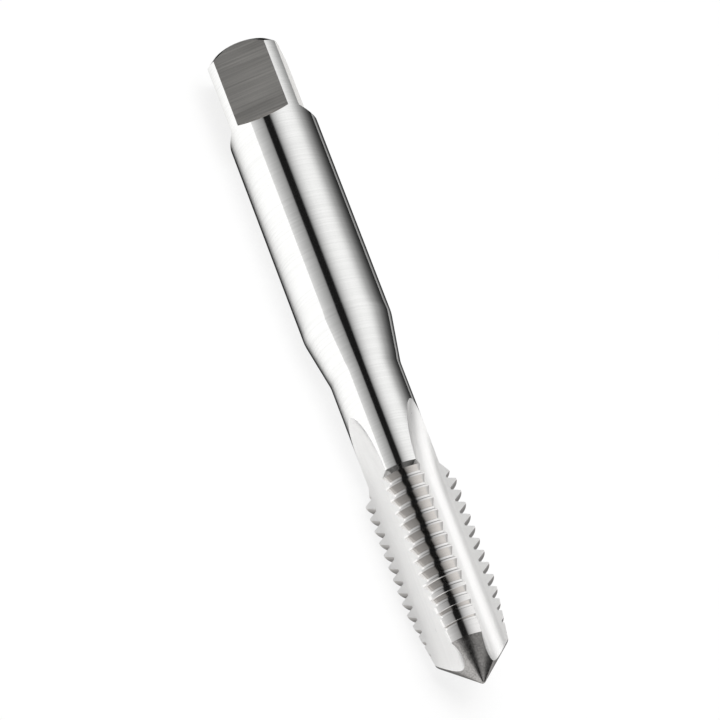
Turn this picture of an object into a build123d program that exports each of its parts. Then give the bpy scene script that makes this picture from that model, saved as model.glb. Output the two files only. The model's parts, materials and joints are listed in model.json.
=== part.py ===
"""Hand tap for an M10 x 1.5 right-hand thread: square drive, plain shank, reduced neck and a
threaded end with three straight flutes, a lead taper and a conical point.

The tap is drawn upright, square end at height 0 and point upwards, with the middle of one land
in the XZ plane. At the end it is laid down on its side with the point towards +X.
"""
import os
from math import acos, atan2, cos, degrees, radians, sin, sqrt, tan

from build123d import *

os.makedirs("parts", exist_ok=True)

# Body
length = 80.0  # square end to the end of the point
shank_d = 10.0
shank_length = 35.6  # square end to the start of the shoulder
shoulder_deg = 9.5  # slope of the shoulder between shank and neck
neck_d = 8.0
end_chamfer = 1.05  # at 45 degrees, round the square end

# Square drive
square_across = 8.0  # across flats
square_length = 9.6  # length of the flats, without their run-out
square_runout_deg = 50.0  # slope of the flats' run-out
square_turn_deg = 3.0  # flat's normal from the middle of the first land

# Thread
thread_d = 10.12  # over the crests: nominal 10 and the wear allowance
thread_length = 24.0  # first full crest to the end of the point
pitch = 1.5
thread_deg = 60.0  # angle between the flanks
crest_flat = 0.19  # width of a full crest
root_flat = 0.25  # width of the groove's bottom
thread_back_deg = 40.0  # slope where the thread rises from the neck
first_groove = 0.41  # groove's centre on the first land, from the first full crest
least_groove = 0.05  # a groove is left out where it would be less deep than this

# Lead taper and point
lead_deg = 8.0
lead_front_d = 8.2  # where the lead taper meets the point
point_deg = 90.0  # included angle
point_flat_d = 0.4

# Flutes
flutes = 3
land_deg = 51.5  # width of a land at the crests
rake_deg = 14.0  # cutting face from the radius through its edge
core_d = 3.8  # circle that the flutes leave at the middle
flute_bottom_r = 1.9
flute_heel_r = 5.5
flute_length = 23.0  # straight part, from the end of the point
flute_wheel_r = 25.0  # the flutes' run-out follows this radius

# Rest: first land's middle from straight up, towards -Y, so that the second land carries the tip
rest_turn_deg = 48.2

# Sizes that follow
shank_r = shank_d / 2
neck_r = neck_d / 2
thread_r = thread_d / 2
core_r = core_d / 2
slope = tan(radians(thread_deg / 2))  # a flank's run along the axis for its depth
root_r = thread_r - (pitch - crest_flat - root_flat) / 2 / slope
clear = 1.0  # cutters reach this far past the surfaces they cut


def ramp(rise, slope_deg):
    """Length along the axis in which a slope rises by this much."""
    return rise / tan(radians(slope_deg))


def at(radius, angle_deg):
    """Point on a circle about the axis, in a cross-section."""
    return Vector(radius * cos(radians(angle_deg)), radius * sin(radians(angle_deg)))


thread_start = length - thread_length
point_start = length - ramp((lead_front_d - point_flat_d) / 2, point_deg / 2)
lead_start = point_start - ramp(thread_r - lead_front_d / 2, lead_deg)

# Turned blank
with BuildSketch(Plane.XZ) as half_section:
    with BuildLine():
        Polyline(
            (0, 0),
            (shank_r - end_chamfer, 0),
            (shank_r, end_chamfer),
            (shank_r, shank_length),
            (neck_r, shank_length + ramp(shank_r - neck_r, shoulder_deg)),
            (neck_r, thread_start - ramp(thread_r - neck_r, thread_back_deg)),
            (thread_r, thread_start),
            (thread_r, lead_start),
            (lead_front_d / 2, point_start),
            (point_flat_d / 2, length),
            (0, length),
            close=True,
        )
    make_face()
tap = Rot(0, 0, 180 / flutes) * revolve(half_section.sketch, axis=Axis.Z)  # seam in a flute

# Square drive: one flat with its sloping run-out, repeated on four sides
flat = square_across / 2
side = shank_r + clear
with BuildSketch(Plane.XZ) as flat_section:
    with BuildLine():
        Polyline(
            (flat, -clear),
            (flat, square_length),
            (side, square_length + ramp(side - flat, square_runout_deg)),
            (side, -clear),
            close=True,
        )
    make_face()
flat_cut = extrude(flat_section.sketch, amount=side, both=True)
for quarter in range(4):
    tap -= Rot(0, 0, square_turn_deg + 90 * quarter) * flat_cut

# Flute section, opening towards +X: a straight cutting face at the lower side, a round bottom
# that touches the face and the core circle, and a wider arc from the bottom up to the heel.
half_gap = 180 / flutes - land_deg / 2
face_deg = rake_deg - half_gap
edge = at(thread_r, -half_gap)
heel = at(thread_r, half_gap)
face = at(1, face_deg)
inward = at(1, face_deg + 90)

# Bottom's centre: its radius away from the face, and its radius outside the core circle
offset = edge + inward * flute_bottom_r
along = offset.dot(face)
reach = core_r + flute_bottom_r
bottom = offset + face * (sqrt(along**2 - offset.dot(offset) + reach**2) - along)

# Heel arc's centre: on the open side, so that the arc ends at the heel and touches the bottom
to_heel = heel - bottom
gap = to_heel.length
between = flute_heel_r - flute_bottom_r
turn = degrees(acos((between**2 + gap**2 - flute_heel_r**2) / (2 * between * gap)))
heel_centre = bottom + at(between, degrees(atan2(to_heel.Y, to_heel.X)) - turn)

face_end = bottom - inward * flute_bottom_r
bottom_end = bottom - (heel_centre - bottom).normalized() * flute_bottom_r
bottom_mid = bottom + (face_end + bottom_end - bottom * 2).normalized() * flute_bottom_r
heel_mid = heel_centre + (bottom_end + heel - heel_centre * 2).normalized() * flute_heel_r
past_edge = edge + face * 2 * clear
past_heel = heel + heel.normalized() * 2 * clear

flute_end = length - flute_length
with BuildSketch(Plane.XY.offset(flute_end)) as flute_section:
    with BuildLine():
        Line(past_edge, face_end)
        ThreePointArc(face_end, bottom_mid, bottom_end)
        ThreePointArc(bottom_end, heel_mid, heel)
        Line(heel, past_heel)
        Line(past_heel, past_edge)
    make_face()
wheel = Axis((core_r + flute_wheel_r, 0, flute_end), (0, -1, 0))
runout_deg = degrees(acos(1 - (thread_r + clear - core_r) / flute_wheel_r))
flute_cut = extrude(flute_section.sketch, amount=flute_length + clear)
flute_cut += revolve(flute_section.sketch, axis=wheel, revolution_arc=runout_deg)
for flute in range(flutes):
    tap -= Rot(0, 0, (flute + 0.5) * 360 / flutes) * flute_cut

# Thread: a helical groove, cut land by land, from flute to flute
root_half = root_flat / 2
top_r = thread_r + 0.1
top_half = root_half + (top_r - root_r) * slope
with BuildSketch(Plane.XZ) as groove_section:
    with BuildLine():
        Polyline(
            (root_r, -root_half),
            (top_r, -top_half),
            (top_r, top_half),
            (root_r, root_half),
            close=True,
        )
    make_face()
groove_deg = land_deg + 25
rise = pitch * groove_deg / 360
path = Helix(pitch=pitch, height=rise, radius=root_r)
groove = sweep(groove_section.sketch, path=path, is_frenet=True)


def crest(height):
    """Radius of the turned blank at this height, in the threaded end."""
    back = thread_r - (thread_start - height) * tan(radians(thread_back_deg))
    lead = thread_r - (height - lead_start) * tan(radians(lead_deg))
    return min(back, thread_r, lead)


grooves = []
for land in range(flutes):
    middle = land * 360 / flutes
    height = thread_start + first_groove + pitch * (land / flutes - 1)
    while height < point_start:
        if crest(height) - root_r > least_groove:
            grooves.append(Pos(0, 0, height - rise / 2) * Rot(0, 0, middle - groove_deg / 2) * groove)
        height += pitch
tap -= grooves

# Laid down: point towards +X, a land's crests on the ground, origin under the middle
lying = Plane(
    origin=(-length / 2, 0, max(shank_r, thread_r)),
    x_dir=(0, -sin(radians(rest_turn_deg)), cos(radians(rest_turn_deg))),
    z_dir=(1, 0, 0),
)
tap = lying.location * tap
tap.label = "tap"
export_step(tap, "parts/tap.step")
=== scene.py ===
"""Looks of the thread tap: its ground and polished surfaces, and a plain studio."""
import json
from math import cos, pi, radians, sin
from typing import NamedTuple

import bpy
from bpy.props import FloatProperty, FloatVectorProperty, PointerProperty
from mathutils import Matrix, Vector


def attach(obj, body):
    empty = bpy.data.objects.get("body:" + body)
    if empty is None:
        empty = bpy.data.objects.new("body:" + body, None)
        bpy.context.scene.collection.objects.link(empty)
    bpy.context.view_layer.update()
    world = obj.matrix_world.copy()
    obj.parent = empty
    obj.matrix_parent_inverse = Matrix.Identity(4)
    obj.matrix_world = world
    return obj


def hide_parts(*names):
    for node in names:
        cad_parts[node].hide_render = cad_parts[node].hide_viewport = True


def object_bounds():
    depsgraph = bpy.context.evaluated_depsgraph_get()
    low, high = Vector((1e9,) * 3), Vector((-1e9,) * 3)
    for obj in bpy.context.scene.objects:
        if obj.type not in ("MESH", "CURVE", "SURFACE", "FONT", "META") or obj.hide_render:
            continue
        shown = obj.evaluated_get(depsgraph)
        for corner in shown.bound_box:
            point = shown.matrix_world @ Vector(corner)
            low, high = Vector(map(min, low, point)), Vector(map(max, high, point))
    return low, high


bl_info = {
    "name": "Thread tap",
    "version": (1, 0, 0),
    "blender": (4, 5, 0),
    "location": "View3D > Sidebar > Thread tap",
    "description": "Makes a straight-flute hand tap and a plain studio round it",
    "category": "Add Mesh",
}

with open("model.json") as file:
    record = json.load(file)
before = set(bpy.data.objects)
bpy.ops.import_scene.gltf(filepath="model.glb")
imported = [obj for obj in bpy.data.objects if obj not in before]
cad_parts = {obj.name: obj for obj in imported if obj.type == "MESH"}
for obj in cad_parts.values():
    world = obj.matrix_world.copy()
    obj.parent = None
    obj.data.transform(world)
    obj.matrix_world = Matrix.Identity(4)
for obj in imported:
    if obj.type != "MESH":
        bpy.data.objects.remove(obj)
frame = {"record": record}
cad_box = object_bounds()
mounts = {mount["name"]: mount for mount in frame["record"]["mounts"]}

# Rows and columns of the tap's skin
LANDS = 3
LAND_COLUMNS = 48  # over a land, from its heel to its cutting edge
QUARTER_COLUMNS = LANDS * LAND_COLUMNS // 4  # over a quarter of the square and shank
FLAT_SHARE = 0.75  # share of a quarter's columns that lies on the flat
STATION_ROWS = 6  # from one station of the square and shank to the next
RUNOUT_ROWS = 30  # over the flutes' run-out
TEETH = 15  # grooves that a land has rows for
TOOTH_ROWS = 4  # corners of one groove
POINT_ROWS = 12  # over the cone, as far as the flutes cut it
NOSE_ROWS = 6  # over the rest of the cone
FLUTE_STRIP = 2  # columns beside the teeth, on each side of a flute
FLUTE_ARC = 16  # columns from there to the flute's middle
NUDGE = 0.25  # keeps a whole number clear of rounding
FEWEST_FACES = 1000  # a skin with fewer faces was not made

# Small lengths, in metres
HAIR = 0.00002  # the fluted skin starts this far before the flutes cut in
SPECK = 0.000001  # too small to see
WELD = 0.000002  # points this close become one
STRIP_DEPTH = 0.0003  # the columns beside the teeth start this far below the roots
PLAIN_START = 0.003  # from the flats to where the shank's columns start to turn
SHOULDER_REACH = 0.0008  # from each end of the shoulder to its nearest stations
SHOULDER_SOFT = 0.0001  # by how much the shoulder's ends are softened

# An edge that turns more than this many degrees stays sharp
SHARP_TURN = 18

# Finishes, in the order of their materials, after the shank's, which is 0
FLAT, THREAD, FLANK, FLUTE, POINT = range(1, 6)

# Steel: the faint unevenness of all surfaces, what it and the lines add to the roughness, and the
# grain's depth as a share of the lines' depth
UNEVEN_SCALE, UNEVEN_SHARE = 160.0, 0.04
UNEVEN_ROUGHNESS, LINE_ROUGHNESS = 0.3, 0.25
GRAIN_DEPTH = 0.5

# Floor: how much darker its colour is, and how strong its glow, where the camera or a mirror sees it
SEEN_SHADE, MIRROR_SHADE = 0.75, 0.35
SEEN_GLOW, MIRROR_GLOW = 0.8, 0.6

# Lamp and camera
LAMP_SIZE, LAMP_POWER = 0.8, 6.0
LAMP_PLACE = (-0.15, -0.3, 0.95)
VIEW_START, VIEW_END = 0.05, 20.0

# Studio: turn about the tap from the camera's side, in degrees, and brightness
SCREENS = [(-180, 0.5), (-60, 1.0), (-47, 0.87), (-35, 0.64), (-23, 0.46), (-16, 0.37), (-10.5, 0.26),
           (-8.5, 0.01), (7.5, 0.01), (10, 0.22), (13, 0.38), (18.4, 0.57), (25, 0.74), (35, 0.92),
           (48, 1.0), (60, 0.98), (68, 0.9), (78, 0.68), (89, 0.43), (99, 0.3), (106, 0.2), (119, 0.1),
           (130, 0.05), (155, 0.03), (180, 0.3)]
# Studio: share along the tap, from its square to its point, and brightness
ENDS = [(-1, 1.0), (0.2, 1.0), (0.7, 0.5), (0.85, 0.55), (1, 1.0)]
# Studio: share along the tap from which the screens reach on past its point, and how far they do
PAST_START, PAST_REACH = 0.7, 0.5


def length_property(name, description, default):
    """A length in metres that a user can change."""
    return FloatProperty(name=name, description=description, default=default, min=0.0,
                         precision=6, subtype="DISTANCE", unit="LENGTH")


def angle_property(name, description, default):
    """An angle, given in degrees, that a user can change."""
    return FloatProperty(name=name, description=description, default=radians(default),
                         subtype="ANGLE", unit="ROTATION")


def colour_property(name, description, default):
    """A colour that a user can change."""
    return FloatVectorProperty(name=name, description=description, default=default, size=3,
                               min=0.0, max=1.0, subtype="COLOR")


class TapSizes(bpy.types.PropertyGroup):
    """Sizes of the tap."""
    length: length_property("Length", "Square end to point", cad_box[1][0] - cad_box[0][0])
    axis_height: length_property("Axis height", "Axis above the ground", mounts["shank"]["pos_m"][2])
    rest_turn: angle_property("Rest turn", "First land from straight up, towards the front", 48.2)
    shank_r: length_property("Shank radius", "Radius of the plain shank",
                             mounts["shank"]["dims"]["r_mm"] / 1000)
    end_chamfer: length_property("End chamfer", "Chamfer round the square end", 0.00105)
    flat: length_property("Flat", "Axis to a flat of the square", 0.004)
    flat_length: length_property("Flat length", "Length of the flats", 0.0096)
    flat_slope: angle_property("Flat run-out", "Slope of the flats' run-out", 50)
    flat_turn: angle_property("Flat turn", "A flat's normal from the first land", 3)
    shank_length: length_property("Shank length", "Square end to shoulder", 0.0356)
    shoulder_slope: angle_property("Shoulder slope", "Slope between shank and neck", 9.5)
    neck_r: length_property("Neck radius", "Radius of the neck", 0.004)
    thread_r: length_property("Thread radius", "Radius over the crests", 0.00506)
    thread_length: length_property("Thread length", "First full crest to point", 0.024)
    pitch: length_property("Pitch", "Pitch of the thread", 0.0015)
    crest_flat: length_property("Crest", "Width of a full crest", 0.00019)
    root_flat: length_property("Root", "Width of the groove's bottom", 0.00025)
    flank: angle_property("Flank angle", "Flank from the groove's middle plane", 30)
    back_slope: angle_property("Back slope", "Slope of the thread's back end", 40)
    first_groove: length_property("First groove", "Groove on the first land from the first full crest",
                                  0.00041)
    least_groove: length_property("Least groove", "Grooves less deep are left out", 0.00005)
    lead_slope: angle_property("Lead slope", "Slope of the lead taper", 8)
    lead_front_r: length_property("Lead front radius", "Radius where the lead meets the point", 0.0041)
    point_slope: angle_property("Point slope", "Slope of the point", 45)
    point_flat_r: length_property("Point flat radius", "Radius of the flat on the point", 0.0002)
    land_width: angle_property("Land width", "Width of a land at the crests", 51.5)
    rake: angle_property("Rake", "Cutting face from the radius through its edge", 14)
    core_r: length_property("Core radius", "Radius that the flutes leave", 0.0019)
    bottom_r: length_property("Flute bottom radius", "Radius of a flute's bottom", 0.0019)
    heel_r: length_property("Flute heel radius", "Radius of a flute's heel side", 0.0055)
    flute_length: length_property("Flute length", "Straight part of a flute", 0.023)
    wheel_r: length_property("Wheel radius", "Radius of a flute's run-out", 0.025)


class Tree:
    """A node tree, and the one way in which nodes are added to it."""

    def __init__(self, tree):
        self.tree = tree

    def node(self, kind, inputs=None, **settings):
        """A node of this kind, with its settings, and values or links for its sockets."""
        node = self.tree.nodes.new(kind)
        for name, value in settings.items():
            setattr(node, name, value)
        for key, value in (inputs or {}).items():
            self.feed(node.inputs[key], value)
        return node

    def feed(self, socket, value):
        """Links a number or socket to this socket, or sets its value."""
        if isinstance(value, Num):
            self.tree.links.new(value.socket, socket)
        elif isinstance(value, bpy.types.NodeSocket):
            self.tree.links.new(value, socket)
        else:
            socket.default_value = value

    def choose(self, index, values):
        """The value in a list that stands at this place."""
        node = self.node("GeometryNodeIndexSwitch", {"Index": index + NUDGE}, data_type="FLOAT")
        while len(node.index_switch_items) < len(values):
            node.index_switch_items.new()
        for place, value in enumerate(values):
            self.feed(node.inputs[str(place)], value)
        return Num(self, node.outputs[0])

    def math(self, operation, *values):
        """A Math node as a number."""
        node = self.node("ShaderNodeMath", dict(enumerate(values)), operation=operation)
        return Num(self, node.outputs[0])


class Num:
    """A number in a node tree, on which Python's operators add Math nodes."""

    def __init__(self, tree, socket):
        self.tree, self.socket = tree, socket

    def __add__(self, other):
        return self.tree.math("ADD", self, other)

    def __sub__(self, other):
        return self.tree.math("SUBTRACT", self, other)

    def __rsub__(self, other):
        return self.tree.math("SUBTRACT", other, self)

    def __mul__(self, other):
        return self.tree.math("MULTIPLY", self, other)

    def __truediv__(self, other):
        return self.tree.math("DIVIDE", self, other)

    def __mod__(self, other):
        return self.tree.math("FLOORED_MODULO", self, other)

    def __pow__(self, other):
        return self.tree.math("POWER", self, other)

    def __lt__(self, other):
        return self.tree.math("LESS_THAN", self, other)

    def __gt__(self, other):
        return self.tree.math("GREATER_THAN", self, other)

    __radd__, __rmul__ = __add__, __mul__

    def do(self, operation, *others):
        """Any other Math operation with this number first."""
        return self.tree.math(operation, self, *others)

    def least(self, *others):
        """The smallest of this number and the others."""
        result = self
        for other in others:
            result = result.do("MINIMUM", other)
        return result

    def most(self, *others):
        """The largest of this number and the others."""
        result = self
        for other in others:
            result = result.do("MAXIMUM", other)
        return result

    def pick(self, yes, no):
        """Yes where this number is 1, no where it is 0."""
        node = self.tree.node("GeometryNodeSwitch", {"Switch": self, "True": yes, "False": no},
                              input_type="FLOAT")
        return Num(self.tree, node.outputs[0])


def hypot(x, y):
    """Length of the vector x, y."""
    return (x * x + y * y).do("SQRT")


class Skin:
    """Formulas of the tap's surface, in the numbers of one geometry tree.

    Heights run from the square end to the point. Angles turn from the first land's middle the way
    the tap cuts, and each land has a cutting face ahead of it and a heel behind it.
    """

    def __init__(self, tree, sizes):
        self.tree = tree
        self.size = s = sizes
        self.thread_start = s["length"] - s["thread_length"]
        self.back = s["back_slope"].do("TANGENT")
        self.lead = s["lead_slope"].do("TANGENT")
        self.flank = s["flank"].do("TANGENT")
        self.point = s["point_slope"].do("TANGENT")
        self.root_r = s["thread_r"] - (s["pitch"] - s["crest_flat"] - s["root_flat"]) * 0.5 / self.flank
        self.point_start = s["length"] - (s["lead_front_r"] - s["point_flat_r"]) / self.point
        self.lead_start = self.point_start - (s["thread_r"] - s["lead_front_r"]) / self.lead
        self.neck_end = self.thread_start - (s["thread_r"] - s["neck_r"]) / self.back
        self.core_end = s["length"] - (s["core_r"] - s["point_flat_r"]) / self.point + SPECK
        self.flute_end = s["length"] - s["flute_length"]
        self.flute_section()

    def flute_section(self):
        """Centres and joints of a flute's section, opening along x, cutting face at the lower side."""
        s = self.size
        self.half_gap = pi / LANDS - s["land_width"] * 0.5
        self.face = s["rake"] - self.half_gap
        face_x, face_y = self.face.do("COSINE"), self.face.do("SINE")
        edge_x = s["thread_r"] * self.half_gap.do("COSINE")
        edge_y = s["thread_r"] * self.half_gap.do("SINE")
        from_x = edge_x - face_y * s["bottom_r"]
        from_y = face_x * s["bottom_r"] - edge_y
        along = from_x * face_x + from_y * face_y
        reach = s["core_r"] + s["bottom_r"]
        step = (along * along - from_x * from_x - from_y * from_y + reach * reach).do("SQRT") - along
        self.bottom_x = from_x + face_x * step
        self.bottom_y = from_y + face_y * step
        heel_x, heel_y = edge_x - self.bottom_x, edge_y - self.bottom_y
        gap = hypot(heel_x, heel_y)
        between = s["heel_r"] - s["bottom_r"]
        turn = (between * between + gap * gap - s["heel_r"] * s["heel_r"]) / (between * gap * 2)
        aim = heel_y.do("ARCTAN2", heel_x) - turn.do("ARCCOSINE")
        self.heel_x = self.bottom_x + between * aim.do("COSINE")
        self.heel_y = self.bottom_y + between * aim.do("SINE")
        self.face_end_x = self.bottom_x + face_y * s["bottom_r"]
        self.face_end_y = self.bottom_y - face_x * s["bottom_r"]
        self.bottom_end_x = self.bottom_x - aim.do("COSINE") * s["bottom_r"]
        self.bottom_end_y = self.bottom_y - aim.do("SINE") * s["bottom_r"]
        apex_x = (((s["neck_r"] + s["bottom_r"]) ** 2 - self.bottom_y ** 2)).do("SQRT")
        rise = s["wheel_r"] - apex_x + self.bottom_x
        self.flute_start = self.flute_end - (s["wheel_r"] ** 2 - rise ** 2).do("SQRT") - HAIR

    def turned(self, height):
        """Radius of the turned blank in the fluted end."""
        s = self.size
        back = s["thread_r"] - (self.thread_start - height) * self.back
        lead = s["thread_r"] - (height - self.lead_start) * self.lead
        point = s["point_flat_r"] + (s["length"] - height) * self.point
        return back.most(s["neck_r"]).least(s["thread_r"], lead, point)

    def lift(self, height):
        """How far the wheel has left the core at this height."""
        wheel = self.size["wheel_r"]
        back = (self.flute_end - height).most(0.0)
        return wheel - (wheel * wheel - back * back).do("SQRT")

    def on_circle(self, radius, lift, x, y, circle_r):
        """Turn of a circle's centre, and the turn from there to its point at this radius."""
        away = hypot(x + lift, y)
        cosine = (radius * radius + away * away - circle_r * circle_r) / (radius * away * 2)
        return y.do("ARCTAN2", x + lift), cosine.do("ARCCOSINE")

    def cutting_side(self, radius, lift):
        """Turn of the cutting face from the flute's middle at this radius."""
        s = self.size
        middle, aside = self.on_circle(radius, lift, self.bottom_x, self.bottom_y, s["bottom_r"])
        off = s["thread_r"] * s["rake"].do("SINE") + lift * self.face.do("SINE")
        straight = self.face - (off / radius.most(SPECK)).do("ARCSINE")
        return (radius > hypot(self.face_end_x + lift, self.face_end_y)).pick(straight, middle - aside)

    def heel_side(self, radius, lift):
        """Turn of the heel side from the flute's middle at this radius."""
        s = self.size
        middle, aside = self.on_circle(radius, lift, self.bottom_x, self.bottom_y, s["bottom_r"])
        heel, heel_aside = self.on_circle(radius, lift, self.heel_x, self.heel_y, s["heel_r"])
        outer = radius > hypot(self.bottom_end_x + lift, self.bottom_end_y)
        return outer.pick(heel + heel_aside, middle + aside)

    def groove_middle(self, tooth, land):
        """Height of this groove at the middle of this land."""
        s = self.size
        return self.thread_start + s["first_groove"] + s["pitch"] * (tooth + land / LANDS)

    def has_groove(self, middle):
        """1 where the turned blank is high enough for a groove."""
        return (self.turned(middle) - self.root_r) > self.size["least_groove"]

    def on_flank(self, row, land):
        """1 on the faces between these rows that are a groove's flanks."""
        part = (row - RUNOUT_ROWS) % TOOTH_ROWS
        tooth = ((row - RUNOUT_ROWS) / TOOTH_ROWS).do("FLOOR") - 1
        inside = (row > RUNOUT_ROWS) * (row < RUNOUT_ROWS + TOOTH_ROWS * TEETH)
        wall = ((part - 1.5).do("ABSOLUTE") - 1).do("ABSOLUTE") < NUDGE
        return inside * wall * self.has_groove(self.groove_middle(tooth, land))

    def land_point(self, row, across, land):
        """Height and radius on a land. Across is 0 at its heel and 1 at its cutting edge."""
        s = self.size
        teeth_end = RUNOUT_ROWS + TOOTH_ROWS * TEETH
        runout = self.flute_start + (self.neck_end - self.flute_start) * (row / RUNOUT_ROWS) ** 2
        left = (1 - (row - teeth_end) / POINT_ROWS).most(0.0)
        point = self.core_end - (self.core_end - self.point_start) * left * left
        nose_share = ((row - (teeth_end + POINT_ROWS)) / NOSE_ROWS).most(0.0).least(1.0)
        point = point + (s["length"] - self.core_end) * nose_share
        plain = (row < RUNOUT_ROWS).pick(runout, point)

        tooth = ((row - RUNOUT_ROWS) / TOOTH_ROWS).do("FLOOR") - 1
        part = (row - RUNOUT_ROWS) % TOOTH_ROWS
        side = (part > 1.5) * 2 - 1
        corner = (part - 1.5).do("ABSOLUTE") > 1
        middle = self.groove_middle(tooth, land)
        there = self.has_groove(middle)
        floor_r = there.pick(self.root_r, s["thread_r"])
        groove = middle + s["pitch"] * (across - 0.5) * s["land_width"] / (2 * pi)
        half = s["root_flat"] * 0.5

        def meets(slope, level):
            """Radius at which the groove's flank meets the line level + slope x height."""
            at = level + slope * (groove + side * half) - side * slope * self.flank * self.root_r
            return at / (1 - side * slope * self.flank)

        back = meets(self.back, s["thread_r"] - self.thread_start * self.back)
        lead = meets(self.lead * -1, s["thread_r"] + self.lead_start * self.lead)
        top_r = back.least(lead, s["thread_r"]).most(floor_r)
        top = groove + side * (half + (top_r - self.root_r) * self.flank)
        height = corner.pick(top, groove + side * half)
        height = height.most(self.neck_end).least(self.point_start)
        tooth_r = corner.pick(top_r, floor_r).least(self.turned(height))

        in_teeth = (row > RUNOUT_ROWS - 0.5) * (row < teeth_end - 0.5)
        return in_teeth.pick(height, plain), in_teeth.pick(tooth_r, self.turned(plain))


def interface(tree, sizes, extra=()):
    """Gives a geometry tree its inputs and one output, and returns the inputs as numbers."""
    for name in [*sizes, *extra]:
        tree.tree.interface.new_socket(name=name, in_out="INPUT", socket_type="NodeSocketFloat")
    tree.tree.interface.new_socket(name="Mesh", in_out="OUTPUT", socket_type="NodeSocketGeometry")
    group = tree.node("NodeGroupInput")
    return {name: Num(tree, group.outputs[name]) for name in [*sizes, *extra]}


def grid(tree, rows, columns):
    """A grid's mesh, with its row and column as numbers."""
    mesh = tree.node("GeometryNodeMeshGrid", {"Vertices X": rows, "Vertices Y": columns}).outputs["Mesh"]
    index = Num(tree, tree.node("GeometryNodeInputIndex").outputs[0])
    row = ((index + 0.5) / columns).do("FLOOR")
    return mesh, row, index - row * columns


def wrap(tree, mesh, s, height, radius, turn, finish):
    """Puts a grid's points in place round the lying tap, and marks the finish of its faces."""
    turn = turn + s["rest_turn"]
    place = tree.node("ShaderNodeCombineXYZ", {
        "X": height - s["length"] * 0.5,
        "Y": radius * turn.do("SINE") * -1,
        "Z": s["axis_height"] + radius * turn.do("COSINE"),
    })
    moved = tree.node("GeometryNodeSetPosition", {"Geometry": mesh, "Position": place.outputs[0]})
    marked = tree.node("GeometryNodeStoreNamedAttribute",
                       {"Geometry": moved.outputs[0], "Name": "finish", "Value": finish},
                       data_type="FLOAT", domain="FACE")
    return marked.outputs[0]


def land_tree(names):
    """Geometry of one land, with the neck and point round it, and of the flute ahead of it."""
    tree = Tree(bpy.data.node_groups.new("Land and flute", "GeometryNodeTree"))
    s = interface(tree, names, ["land"])
    skin = Skin(tree, s)
    land = s["land"]
    pitch_turn = 2 * pi / LANDS

    rows = RUNOUT_ROWS + TOOTH_ROWS * TEETH + POINT_ROWS + NOSE_ROWS
    mesh, row, column = grid(tree, rows + 2, LAND_COLUMNS + 1)
    across = column / LAND_COLUMNS
    height, radius = skin.land_point(row.least(rows), across, land)
    lift = skin.lift(height)
    heel = skin.heel_side(radius, lift)
    turn = heel + across * (pitch_turn + skin.cutting_side(radius, lift) - heel)
    radius = radius * (row < rows + 0.5)
    place = tree.node("ShaderNodeSeparateXYZ", {0: tree.node("GeometryNodeInputPosition").outputs[0]})
    middle = Num(tree, place.outputs[0]) + s["length"] * 0.5
    row_face = Num(tree, tree.node("GeometryNodeFieldOnDomain", {0: row}, domain="POINT").outputs[0])
    finish = (middle > skin.neck_end) * THREAD + (middle > skin.point_start) * (POINT - THREAD)
    finish = finish + skin.on_flank(row_face, land) * (FLANK - THREAD)
    marked = tree.node("GeometryNodeStoreNamedAttribute",
                       {"Geometry": mesh, "Name": "across", "Value": across},
                       data_type="FLOAT", domain="POINT")
    top = wrap(tree, marked.outputs[0], s, height, radius, turn + (land - 0.5) * pitch_turn, finish)

    rows = RUNOUT_ROWS + TOOTH_ROWS * TEETH + POINT_ROWS
    half = FLUTE_STRIP + FLUTE_ARC
    mesh, row, column = grid(tree, rows + 1, 2 * half + 1)
    column = column - half
    ahead = column > 0.5
    cut_z, cut_r = skin.land_point(row, 1.0, land)
    heel_z, heel_r = skin.land_point(row, 0.0, (land + 1) % LANDS)
    edge_z, edge_r = ahead.pick(heel_z, cut_z), ahead.pick(heel_r, cut_r)
    away = column.do("ABSOLUTE")
    inner = (away / FLUTE_ARC).least(1.0)
    strip = ((away - FLUTE_ARC) / FLUTE_STRIP).most(0.0)
    middle_z = (cut_z + heel_z) * 0.5
    height = middle_z + (edge_z - middle_z) * inner
    lift = skin.lift(height)
    least_r = (hypot(skin.bottom_x + lift, skin.bottom_y) - s["bottom_r"]).least(edge_r)
    inner_r = edge_r.least(skin.root_r - STRIP_DEPTH).most(least_r)
    radius = least_r + (inner_r - least_r) * inner * inner
    radius = radius + (edge_r - inner_r) * strip
    turn = ahead.pick(skin.heel_side(radius, lift), skin.cutting_side(radius, lift))
    flute = wrap(tree, mesh, s, height, radius, turn + (land + 0.5) * pitch_turn, float(FLUTE))

    joined = tree.node("GeometryNodeJoinGeometry")
    tree.feed(joined.inputs[0], flute)
    tree.feed(joined.inputs[0], top)
    tree.feed(tree.node("NodeGroupOutput").inputs[0], joined.outputs[0])
    return tree.tree


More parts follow.
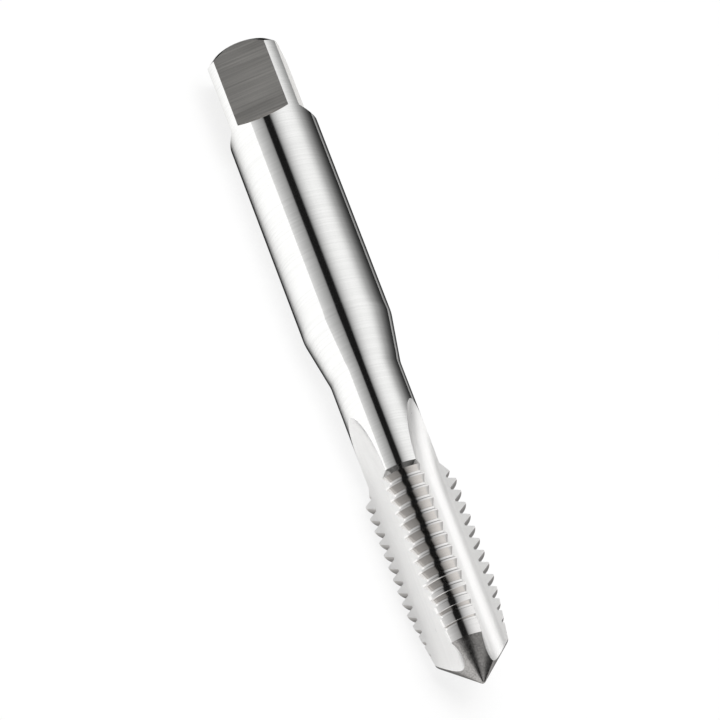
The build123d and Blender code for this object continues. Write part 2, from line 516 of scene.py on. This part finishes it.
def drive_tree(names):
    """Geometry of the square drive, shank, shoulder and neck, up to where the flutes start."""
    tree = Tree(bpy.data.node_groups.new("Drive and shank", "GeometryNodeTree"))
    s = interface(tree, names)
    skin = Skin(tree, s)
    step = pi / 2 / QUARTER_COLUMNS
    flat_columns = FLAT_SHARE * QUARTER_COLUMNS
    half_flat = (s["flat"] / s["shank_r"]).do("ARCCOSINE")

    mesh, row, column = grid(tree, 10 * STATION_ROWS + 1, 4 * QUARTER_COLUMNS + 1)
    quarter = ((column + NUDGE) / QUARTER_COLUMNS).do("FLOOR")
    part = column - quarter * QUARTER_COLUMNS
    on_flat = part < flat_columns + 0.5
    corner = (part - flat_columns) / (QUARTER_COLUMNS - flat_columns)
    aside = on_flat.pick(half_flat * (part * (2 / flat_columns) - 1),
                         half_flat + (pi / 2 - half_flat * 2) * corner)
    level = aside.do("COSINE")
    side_r = on_flat.pick(s["flat"] / level, s["shank_r"])
    runout = (s["shank_r"] * level - s["flat"]) / s["flat_slope"].do("TANGENT")

    body_start = s["flat_length"] + PLAIN_START
    body_end = s["shank_length"] - SHOULDER_REACH
    shoulder = s["shoulder_slope"].do("TANGENT")
    neck_start = s["shank_length"] + (s["shank_r"] - s["neck_r"]) / shoulder
    zero = row * 0
    face_r = s["shank_r"] - s["end_chamfer"]
    stations = [
        (zero, zero), (zero, face_r), (side_r - face_r, side_r), (s["flat_length"], side_r),
        (s["flat_length"] + on_flat.pick(runout, 0.0), s["shank_r"]), (body_start, s["shank_r"]),
        (body_end, s["shank_r"]), (s["shank_length"] + SHOULDER_REACH, s["shank_r"]),
        (neck_start - SHOULDER_REACH, s["neck_r"]), (neck_start + SHOULDER_REACH, s["neck_r"]),
        (skin.flute_start, s["neck_r"]),
    ]
    station = ((row + NUDGE) / STATION_ROWS).do("FLOOR")
    share = row / STATION_ROWS - station

    def between(values):
        """Steps evenly from each station's value to the next one's."""
        now, then = tree.choose(station, values), tree.choose(station + 1, values)
        return now + (then - now) * share

    height = between([z for z, r in stations])
    cone = s["shank_r"] - (height - s["shank_length"]) * shoulder
    soft = cone.do("SMOOTH_MIN", s["shank_r"], SHOULDER_SOFT)
    soft = soft.do("SMOOTH_MAX", s["neck_r"], SHOULDER_SOFT)
    radius = (station > 4.5).pick(soft, between([r for z, r in stations]))

    apex_turn = skin.cutting_side(s["neck_r"], skin.lift(skin.flute_start))
    first = ((s["flat_turn"] + pi / LANDS - apex_turn) / step - flat_columns / 2).do("ROUND")
    ring = apex_turn - pi / LANDS + (column + first) * step
    square = s["flat_turn"] + quarter * (pi / 2) + aside
    blend = ((height - body_start) / (body_end - body_start)).most(0.0).least(1.0)
    blend = blend * blend * (3 - blend * 2)
    turn = square + (ring - square) * blend

    flat_rows = (row > 2 * STATION_ROWS - 0.5) * (row < 4 * STATION_ROWS + 0.5)
    on_face = tree.node("GeometryNodeFieldOnDomain", {0: on_flat * flat_rows}, domain="POINT")
    finish = (Num(tree, on_face.outputs[0]) > 0.99) * FLAT
    skin_mesh = wrap(tree, mesh, s, height, radius, turn, finish)
    tree.feed(tree.node("NodeGroupOutput").inputs[0], skin_mesh)
    return tree.tree


def tap_tree(names, materials):
    """The whole tap: its shank, and its lands and flutes, joined into one closed skin."""
    drive, land = drive_tree(names), land_tree(names)
    tree = Tree(bpy.data.node_groups.new("Thread tap", "GeometryNodeTree"))
    s = interface(tree, names)
    values = {name: s[name] for name in names}
    parts = [tree.node("GeometryNodeGroup", values, node_tree=drive)]
    for number in range(LANDS):
        parts.append(tree.node("GeometryNodeGroup", {**values, "land": float(number)}, node_tree=land))
    joined = tree.node("GeometryNodeJoinGeometry")
    for part in parts:
        tree.feed(joined.inputs[0], part.outputs[0])
    merged = tree.node("GeometryNodeMergeByDistance", {"Geometry": joined.outputs[0], "Distance": WELD})
    faced = tree.node("GeometryNodeFlipFaces", {0: merged.outputs[0]})
    smooth = tree.node("GeometryNodeSetShadeSmooth", {0: faced.outputs[0], "Shade Smooth": True})
    edge = Num(tree, tree.node("GeometryNodeInputMeshEdgeAngle").outputs[0])
    sharp = tree.node("GeometryNodeSetShadeSmooth", {
        0: smooth.outputs[0], "Selection": edge > radians(SHARP_TURN), "Shade Smooth": False,
    }, domain="EDGE")
    last = tree.node("GeometryNodeRealizeInstances", {0: sharp.outputs[0]})
    finish = tree.node("GeometryNodeInputNamedAttribute", {"Name": "finish"}, data_type="FLOAT")
    finish = Num(tree, finish.outputs[0])
    for number, material in enumerate(materials):
        last = tree.node("GeometryNodeSetMaterial", {
            "Geometry": last.outputs[0], "Material": material,
            "Selection": (finish - number).do("ABSOLUTE") < 0.5,
        })
    tree.feed(tree.node("NodeGroupOutput").inputs[0], last.outputs[0])
    return tree.tree


def set_stops(ramp, stops):
    """Gives a colour ramp its grey stops, spread from the first one's place to the last one's."""
    first, last = stops[0][0], stops[-1][0]
    elements = ramp.color_ramp.elements
    while len(elements) < len(stops):
        elements.new(1.0)
    for element, (place, grey) in zip(elements, stops):
        element.position = (place - first) / (last - first)
        element.color = (grey, grey, grey, 1.0)


# Finishes of the surfaces, in the order of their numbers
FINISH_NAMES = {"shank": "Ground shank", "flat": "Milled flats", "thread": "Ground crests",
                "flank": "Ground flanks", "flute": "Ground flutes", "point": "Turned point"}


class Finish(NamedTuple):
    """What cutting or grinding left on a surface, and any painted shade towards its cutting edges."""
    lines: tuple  # noise scales of its lines, along x, y and z
    line_share: float  # how much the lines change its shade
    grain_share: float  # how much the grain changes its shade
    roughness: float
    depth: float  # of its lines, in metres
    metal: float = 1.0  # share that mirrors as bare metal does
    grain_scale: float = 9000.0
    edge_share: float = 0.0  # painted shade: how much darker it gets towards the cutting edges, in place of the darker reflections there
    low_angle: float = 0.0  # brightness where it is seen at a low angle


FINISHES = {
    "shank": Finish((5200.0, 50.0, 50.0), 0.10, 0.03, 0.085, 0.6e-6),
    "flat": Finish((4200.0, 90.0, 90.0), 0.45, 0.10, 0.30, 4e-6, metal=0.93, low_angle=1.0),
    "thread": Finish((5200.0, 90.0, 90.0), 0.06, 0.04, 0.10, 0.4e-6),
    # The flanks darken towards their cutting edges: painted shade, not a finish
    "flank": Finish((5200.0, 400.0, 400.0), 0.08, 0.06, 0.08, 0.4e-6, edge_share=0.25, low_angle=0.2),
    "flute": Finish((60.0, 3200.0, 3200.0), 0.08, 0.04, 0.35, 2e-6, metal=0.45),
    "point": Finish((5200.0, 600.0, 600.0), 0.30, 0.50, 0.20, 3e-6, grain_scale=5200.0, low_angle=0.3),
}


def make_steel(name, colour, finish):
    """Steel with the finish that cutting or grinding left on it, and any painted shade towards the
    cutting edges.
    """
    material = bpy.data.materials.new(name)
    material.use_nodes = True
    material.node_tree.nodes.clear()
    tree = Tree(material.node_tree)
    place = tree.node("ShaderNodeTexCoord").outputs["Object"]

    def noise(vector, scale, detail):
        """Noise about 0, from -1 to 1."""
        node = tree.node("ShaderNodeTexNoise", {"Vector": vector, "Scale": scale, "Detail": detail})
        return (Num(tree, node.outputs[0]) - 0.5) * 2

    stretched = tree.node("ShaderNodeVectorMath", {0: place, 1: finish.lines}, operation="MULTIPLY")
    line = noise(stretched.outputs[0], 1.0, 4.0)
    grain = noise(place, finish.grain_scale, 2.0)
    uneven = noise(place, UNEVEN_SCALE, 3.0)
    shade = 1 + line * finish.line_share + grain * finish.grain_share + uneven * UNEVEN_SHARE
    # Painted shade: darker towards the cutting edges, in place of the darker reflections that the flanks
    # show there
    if finish.edge_share:
        across = tree.node("ShaderNodeAttribute", attribute_name="across").outputs["Fac"]
        shade = shade * (1 - Num(tree, across) * finish.edge_share)
    tint = tree.node("ShaderNodeVectorMath", {0: colour[:3], "Scale": shade}, operation="SCALE")
    bump = tree.node("ShaderNodeBump", {"Strength": 1.0, "Distance": finish.depth,
                                        "Height": line + grain * GRAIN_DEPTH})
    shader = tree.node("ShaderNodeBsdfPrincipled", {
        "Base Color": tint.outputs[0], "Metallic": finish.metal,
        "Roughness": finish.roughness * (1 + line * LINE_ROUGHNESS + uneven * UNEVEN_ROUGHNESS),
        "Specular Tint": (finish.low_angle,) * 3 + (1.0,), "Normal": bump.outputs[0],
    })
    tree.node("ShaderNodeOutputMaterial", {"Surface": shader.outputs[0]})
    return material


class TapColours(bpy.types.PropertyGroup):
    """Colours of the tap's finishes."""
    shank: colour_property("Shank", "Cylindrically ground shank and neck", (0.88, 0.88, 0.87))
    flat: colour_property("Flats", "Milled and ground flats of the square", (0.60, 0.585, 0.56))
    thread: colour_property("Thread", "Ground crests and roots", (0.86, 0.85, 0.84))
    flank: colour_property("Flanks", "Ground flanks of the thread", (0.84, 0.82, 0.80))
    flute: colour_property("Flutes", "Ground flutes", (0.96, 0.955, 0.945))
    point: colour_property("Point", "Turned point", (0.36, 0.35, 0.34))


class StudioSettings(bpy.types.PropertyGroup):
    """Camera, floor and light."""
    target: FloatVectorProperty(name="Target", description="Where the camera looks", size=3,
                                default=(-0.000501, 0.00026, 0.004831), precision=6,
                                subtype="TRANSLATION", unit="LENGTH")
    distance: length_property("Distance", "Camera from the target", 0.679292)
    azimuth: angle_property("Azimuth", "Camera's turn round the tap", 34.461)
    elevation: angle_property("Elevation", "Camera above the horizon", 37.817)
    roll: angle_property("Roll", "Camera's turn about its own line of sight", 46.238)
    lens: FloatProperty(name="Lens", description="Focal length in millimetres", default=316.54, min=1.0)
    floor: length_property("Floor", "Width of the floor", 6.0)
    floor_colour: colour_property("Floor colour", "Plain pale floor", (0.85, 0.85, 0.85))


class TAP_OT_tap(bpy.types.Operator):
    """Make the tap"""
    bl_idname = "thread_tap.tap"
    bl_label = "Tap"

    def execute(self, context):
        """Builds the skin with geometry nodes, keeps its mesh and drops the modifier."""
        sizes, colours = context.scene.tap_sizes, context.scene.tap_colours
        materials = [make_steel(label, getattr(colours, part), FINISHES[part])
                     for part, label in FINISH_NAMES.items()]
        names = list(TapSizes.__annotations__)
        draft = bpy.data.objects.new("draft", bpy.data.meshes.new("draft"))
        context.scene.collection.objects.link(draft)
        modifier = draft.modifiers.new("Thread tap", "NODES")
        modifier.node_group = tap_tree(names, materials)
        for item in modifier.node_group.interface.items_tree:
            if item.in_out == "INPUT":
                modifier[item.identifier] = getattr(sizes, item.name)
        graph = context.evaluated_depsgraph_get()
        mesh = bpy.data.meshes.new_from_object(draft.evaluated_get(graph), depsgraph=graph)
        bpy.data.objects.remove(draft)
        if len(mesh.polygons) < FEWEST_FACES:
            raise RuntimeError("the tap's geometry nodes made no skin")
        tap = bpy.data.objects.new("thread_tap", mesh)
        context.scene.collection.objects.link(tap)
        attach(tap, "root")
        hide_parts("tap")
        return {"FINISHED"}


class TAP_OT_studio(bpy.types.Operator):
    """Make the floor, the light and the camera"""
    bl_idname = "thread_tap.studio"
    bl_label = "Studio"

    def execute(self, context):
        """Adds a white floor, a soft world with dark screens in it, one lamp and the camera."""
        studio = context.scene.tap_studio
        back = Vector((sin(studio.azimuth) * cos(studio.elevation),
                       -cos(studio.azimuth) * cos(studio.elevation), sin(studio.elevation)))
        self.add_floor(context, studio)
        self.add_world(context, back)
        self.add_lamp(context)
        self.add_camera(context, studio, back)
        context.scene.view_settings.view_transform = "Standard"
        return {"FINISHED"}

    def add_floor(self, context, studio):
        """A white floor that shows as white and keeps the tap's shadow."""
        half = studio.floor / 2
        mesh = bpy.data.meshes.new("floor")
        mesh.from_pydata([(-half, -half, 0), (half, -half, 0), (half, half, 0), (-half, half, 0)], [],
                         [(0, 1, 2, 3)])
        floor = bpy.data.objects.new("floor", mesh)
        context.scene.collection.objects.link(floor)
        material = bpy.data.materials.new("Pale floor")
        material.use_nodes = True
        material.node_tree.nodes.clear()
        tree = Tree(material.node_tree)
        colour = studio.floor_colour
        path = tree.node("ShaderNodeLightPath").outputs
        direct = Num(tree, path["Is Camera Ray"]).most(Num(tree, path["Is Transmission Ray"]))
        mirrored = Num(tree, path["Is Glossy Ray"])
        share = 1 - direct * SEEN_SHADE - mirrored * MIRROR_SHADE
        faint = tree.node("ShaderNodeVectorMath", {0: colour[:], "Scale": share}, operation="SCALE")
        white = tree.node("ShaderNodeBsdfDiffuse", {"Color": faint.outputs[0]})
        strength = direct * SEEN_GLOW + mirrored * MIRROR_GLOW
        glow = tree.node("ShaderNodeEmission", {"Color": (1.0, 1.0, 1.0, 1.0), "Strength": strength})
        both = tree.node("ShaderNodeAddShader", {0: white.outputs[0], 1: glow.outputs[0]})
        tree.node("ShaderNodeOutputMaterial", {"Surface": both.outputs[0]})
        mesh.materials.append(material)

    def add_world(self, context, back):
        """A white studio whose dark screens stand in line with the tap."""
        axis = Vector((1, 0, 0))
        front = (back - axis * back.dot(axis)).normalized()
        side = front.cross(axis)
        world = bpy.data.worlds.new("Studio")
        context.scene.world = world
        world.use_nodes = True
        world.node_tree.nodes.clear()
        tree = Tree(world.node_tree)
        place = tree.node("ShaderNodeTexCoord").outputs["Generated"]

        def part(vector):
            """How far the direction points along this vector."""
            dot = tree.node("ShaderNodeVectorMath", {0: place, 1: vector}, operation="DOT_PRODUCT")
            return Num(tree, dot.outputs["Value"])

        past = ((part(axis) - PAST_START) / (1 - PAST_START)).most(0.0).least(1.0)
        turn = part(side).do("ARCTAN2", part(front) + past * PAST_REACH) * (0.5 / pi) + 0.5
        screens = tree.node("ShaderNodeValToRGB", {0: turn})
        set_stops(screens, SCREENS)
        ends = tree.node("ShaderNodeValToRGB", {0: part(axis) * 0.5 + 0.5})
        set_stops(ends, ENDS)
        level = Num(tree, screens.outputs[0]) * Num(tree, ends.outputs[0])
        camera = Num(tree, tree.node("ShaderNodeLightPath").outputs["Is Camera Ray"])
        strength = level * (1 - camera) + camera
        sky = tree.node("ShaderNodeBackground", {"Color": (1.0, 1.0, 1.0, 1.0), "Strength": strength})
        tree.node("ShaderNodeOutputWorld", {"Surface": sky.outputs[0]})

    def add_lamp(self, context):
        """One wide soft lamp above, which mirrors don't show."""
        light = bpy.data.lights.new("soft_lamp", "AREA")
        light.shape, light.size, light.energy = "SQUARE", LAMP_SIZE, LAMP_POWER
        lamp = bpy.data.objects.new("soft_lamp", light)
        lamp.location = LAMP_PLACE
        lamp.rotation_euler = Vector(lamp.location).to_track_quat("Z", "Y").to_euler()
        lamp.visible_glossy = False
        context.scene.collection.objects.link(lamp)

    def add_camera(self, context, studio, back):
        """A camera on a long lens, turned about its own line of sight."""
        level = Vector((cos(studio.azimuth), sin(studio.azimuth), 0))
        right = level * cos(studio.roll) + back.cross(level) * sin(studio.roll)
        camera = bpy.data.objects.new("camera", bpy.data.cameras.new("camera"))
        camera.data.lens = studio.lens
        camera.data.clip_start, camera.data.clip_end = VIEW_START, VIEW_END
        turned = Matrix((right, back.cross(right), back)).transposed().to_4x4()
        camera.matrix_world = Matrix.Translation(Vector(studio.target) + back * studio.distance) @ turned
        context.scene.collection.objects.link(camera)
        context.scene.camera = camera


class TAP_PT_panel(bpy.types.Panel):
    """The tap's sizes, colours and steps"""
    bl_idname = "TAP_PT_panel"
    bl_label = "Thread tap"
    bl_space_type = "VIEW_3D"
    bl_region_type = "UI"
    bl_category = "Thread tap"

    def draw(self, context):
        """Lists the sizes and colours, and one button for each step."""
        layout = self.layout
        for group in (context.scene.tap_sizes, context.scene.tap_colours, context.scene.tap_studio):
            box = layout.box()
            for name in type(group).__annotations__:
                box.prop(group, name)
        for step in STEPS:
            layout.operator(step.bl_idname)


GROUPS = {"tap_sizes": TapSizes, "tap_colours": TapColours, "tap_studio": StudioSettings}
STEPS = (TAP_OT_tap, TAP_OT_studio)
CLASSES = (*GROUPS.values(), *STEPS, TAP_PT_panel)


def register():
    """Adds the classes and the scene's settings."""
    for item in CLASSES:
        bpy.utils.register_class(item)
    for name, group in GROUPS.items():
        setattr(bpy.types.Scene, name, PointerProperty(type=group))


def unregister():
    """Takes the scene's settings and the classes away."""
    for name in GROUPS:
        delattr(bpy.types.Scene, name)
    for item in reversed(CLASSES):
        bpy.utils.unregister_class(item)


def main():
    """Makes everything in order."""
    register()
    bpy.ops.thread_tap.tap()
    bpy.ops.thread_tap.studio()


if __name__ == "__main__":
    main()
